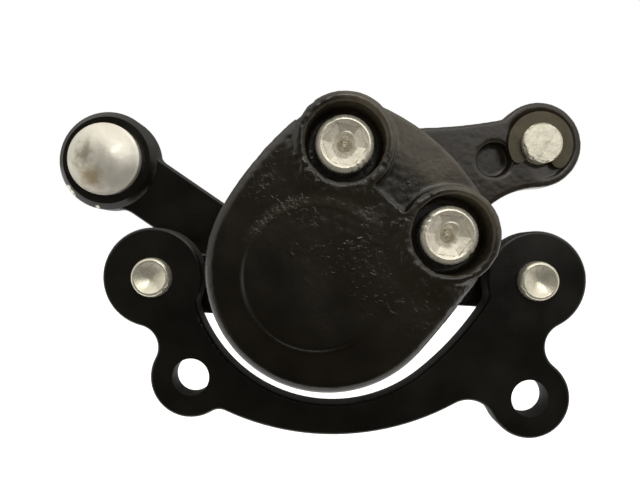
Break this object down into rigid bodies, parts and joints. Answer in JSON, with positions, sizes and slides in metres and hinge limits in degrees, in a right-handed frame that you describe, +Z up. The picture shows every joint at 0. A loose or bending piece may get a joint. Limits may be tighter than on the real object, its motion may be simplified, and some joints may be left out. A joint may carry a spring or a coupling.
{
  "type": "disc brake caliper",
  "caption": "Floating cable-operated disc brake caliper: two bolted halves on a guide-pin bracket, round pads, ball-ramp piston, cam lever and swivelling cable stop.",
  "frame": {"origin": "midway between the two mounting holes, on the bracket's rear face", "axes": "+X along the line of the mounting holes, +Y square to the bracket from its front face to its rear face, towards the lever, +Z up from the mounting holes to the guide pins"},
  "size_m": [0.1185, 0.0559, 0.0695],
  "materials": {
    "bracket_black": "satin black coating on steel plate",
    "cast_black": "black paint over rough cast aluminium",
    "lever_black": "smooth black coating",
    "pin_steel": "turned, bright ends",
    "zinc_steel": "bright zinc plate",
    "turned_steel": "satin turned steel",
    "hardened_steel": "ground",
    "ball_steel": "polished",
    "pad_plate_steel": "stamped steel",
    "friction_lining": "pressed resin and metal fibre",
    "magnet": "nickel plate",
    "bronze": "sintered",
    "seal_rubber": "matte",
    "spring_steel": "oiled spring wire",
    "clip_black": "blackened spring steel"
  },
  "bodies": {
    "bracket": {"mounting_bracket": "bracket_black", "guide_pin_left": "pin_steel", "guide_pin_right": "pin_steel"},
    "caliper": {"front_half": "cast_black", "rear_half": "cast_black", "body_bolt_upper": "zinc_steel", "body_bolt_lower": "zinc_steel", "fixed_pad_plate": "pad_plate_steel", "fixed_pad_lining": "friction_lining", "fixed_pad_magnet": "magnet", "thrust_washer": "hardened_steel", "shaft_bush": "bronze", "shaft_seal": "seal_rubber", "return_spring": "spring_steel"},
    "piston": {"pressure_piston": "hardened_steel", "moving_pad_magnet": "magnet", "moving_pad_plate": "pad_plate_steel", "moving_pad_lining": "friction_lining"},
    "balls": {"cam_balls": "ball_steel"},
    "lever": {"cam_shaft": "hardened_steel", "actuator_lever": "lever_black", "lever_washer": "zinc_steel", "lever_nut": "zinc_steel"},
    "clamp": {"cable_clamp_pin": "turned_steel", "clamp_clip": "clip_black", "clamp_screw": "zinc_steel"},
    "stop": {"cable_stop_barrel": "turned_steel", "stop_clip": "clip_black", "adjuster_locknut": "zinc_steel"},
    "adjuster": {"barrel_adjuster": "zinc_steel"}
  },
  "joints": [
    {"name": "caliper_float", "type": "slide", "parent": "bracket", "child": "caliper", "axis": [0, 1, 0], "range_m": [-0.0015, 0.0022]},
    {"name": "lever_swing", "type": "hinge", "parent": "caliper", "child": "lever", "pos_m": [-0.01, 0, 0.0225], "axis": [0, 1, 0], "range_deg": [0, 40], "stiffness_Nm_per_rad": 0.5, "springref_deg": -34.38, "deforming": ["return_spring"]},
    {"name": "ball_roll", "type": "hinge", "parent": "caliper", "child": "balls", "pos_m": [-0.01, 0, 0.0225], "axis": [0, 1, 0], "range_deg": [0, 20]},
    {"name": "piston_advance", "type": "slide", "parent": "caliper", "child": "piston", "axis": [0, -1, 0], "range_m": [0, 0.0014]},
    {"name": "cable_clamp_swivel", "type": "hinge", "parent": "lever", "child": "clamp", "pos_m": [-0.0602, 0, 0.0447], "axis": [0, 1, 0], "range_deg": [-60, 60]},
    {"name": "cable_stop_swivel", "type": "hinge", "parent": "caliper", "child": "stop", "pos_m": [0.033, 0, 0.051], "axis": [0, 1, 0], "range_deg": [-25, 25]},
    {"name": "adjuster_travel", "type": "slide", "parent": "stop", "child": "adjuster", "axis": [0.9977, 0, 0.0674], "range_m": [0, 0.005]}
  ],
  "couplings": [
    {"joint": "ball_roll", "follows": "lever_swing", "ratio": 0.5},
    {"joint": "piston_advance", "follows": "lever_swing", "m_per_rad": 0.002}
  ]
}
